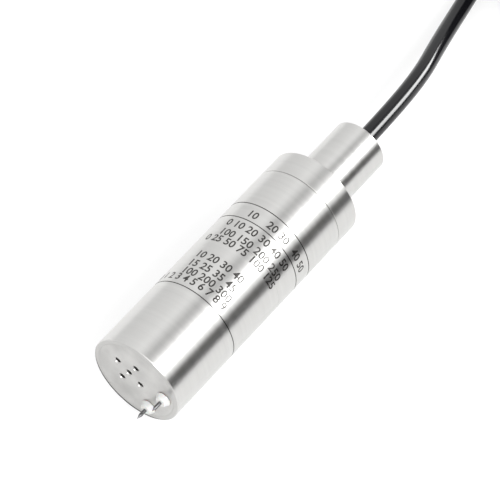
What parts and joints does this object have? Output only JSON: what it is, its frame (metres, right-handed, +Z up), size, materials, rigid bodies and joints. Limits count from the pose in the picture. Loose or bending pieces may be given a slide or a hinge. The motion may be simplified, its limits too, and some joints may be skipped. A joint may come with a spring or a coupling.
{
  "type": "piezoresistive level sensor",
  "caption": "Submersible level sensor: a stainless tube with an off-centre pressure inlet and insulated electrodes in its nose, and a vented black cable, lying on its side.",
  "frame": {"origin": "under the middle of the sensor without its cable, on the surface that it lies on", "axes": "+X along the sensor towards its cable, so the nose points to -X; +Z up; the coiled cable lies on the -Y side beyond the +X end"},
  "size_m": [0.356, 0.1008, 0.04],
  "materials": {
    "stainless_satin": "satin turned stainless steel",
    "stainless_plain": "machined stainless steel",
    "tinned_metal": "tinned copper alloy",
    "gold_plating": "gold-plated pins",
    "brass_plain": "plain brass",
    "fluoropolymer_white": "white fluoropolymer, turned",
    "rubber_black": "black sealing rubber",
    "sealing_glass": "green sealing glass",
    "ceramic_white": "white fired ceramic",
    "silicon_dark": "polished silicon on glass",
    "board_green": "green lacquered circuit board",
    "chip_black": "black moulding compound",
    "can_aluminium": "drawn aluminium cans",
    "terminal_green": "green moulded terminal block",
    "polymer_natural": "natural acetal",
    "sheath_black": "glossy black cable sheath",
    "tie_black": "black nylon band",
    "vent_clear": "milky vent tube",
    "lead_grey": "grey lead insulation",
    "core_white": "white core insulation",
    "core_yellow": "yellow core insulation",
    "core_black": "black core insulation",
    "core_blue": "blue core insulation",
    "core_red": "red core insulation"
  },
  "bodies": {
    "root": {"housing_tube": "stainless_satin", "nose_plug": "stainless_satin", "rear_cap": "stainless_satin", "capsule_body": "stainless_plain", "capsule_diaphragm": "stainless_plain", "capsule_weld_ring": "stainless_plain", "capsule_header": "stainless_plain", "capsule_retaining_ring": "stainless_plain", "reference_tube": "stainless_plain", "electrode_pin_1": "stainless_plain", "electrode_pin_2": "stainless_plain", "electrode_washers": "stainless_plain", "electrode_nuts": "stainless_plain", "seal_washers": "stainless_plain", "gland_screw": "stainless_plain", "terminal_screws": "stainless_plain", "electrode_lugs": "tinned_metal", "core_tips": "tinned_metal", "header_pins": "gold_plating", "strain_ferrule": "brass_plain", "electrode_bush_1": "fluoropolymer_white", "electrode_bush_2": "fluoropolymer_white", "capsule_seal": "rubber_black", "electrode_seals": "rubber_black", "cable_seal": "rubber_black", "cap_seals": "rubber_black", "header_glass": "sealing_glass", "ceramic_spacer": "ceramic_white", "surge_arresters": "ceramic_white", "pressure_chip": "silicon_dark", "trim_board": "board_green", "circuit_board": "board_green", "controller_chip": "chip_black", "converter_chip": "chip_black", "board_resistors": "chip_black", "board_capacitors": "can_aluminium", "terminal_block": "terminal_green", "insulating_sleeve": "polymer_natural", "front_board_carrier": "polymer_natural", "rear_board_carrier": "polymer_natural", "vent_filter_cap": "polymer_natural", "cable_lead": "sheath_black", "cable_coil": "sheath_black", "coil_ties": "tie_black", "inner_vent_tube": "vent_clear", "tail_vent_tube": "vent_clear", "signal_leads": "lead_grey", "electrode_lead_1": "lead_grey", "electrode_lead_2": "lead_grey", "inner_core_white": "core_white", "tail_core_white": "core_white", "inner_core_yellow": "core_yellow", "tail_core_yellow": "core_yellow", "inner_core_black": "core_black", "tail_core_black": "core_black", "inner_core_blue": "core_blue", "tail_core_blue": "core_blue", "inner_core_red": "core_red", "tail_core_red": "core_red"}
  },
  "joints": []
}
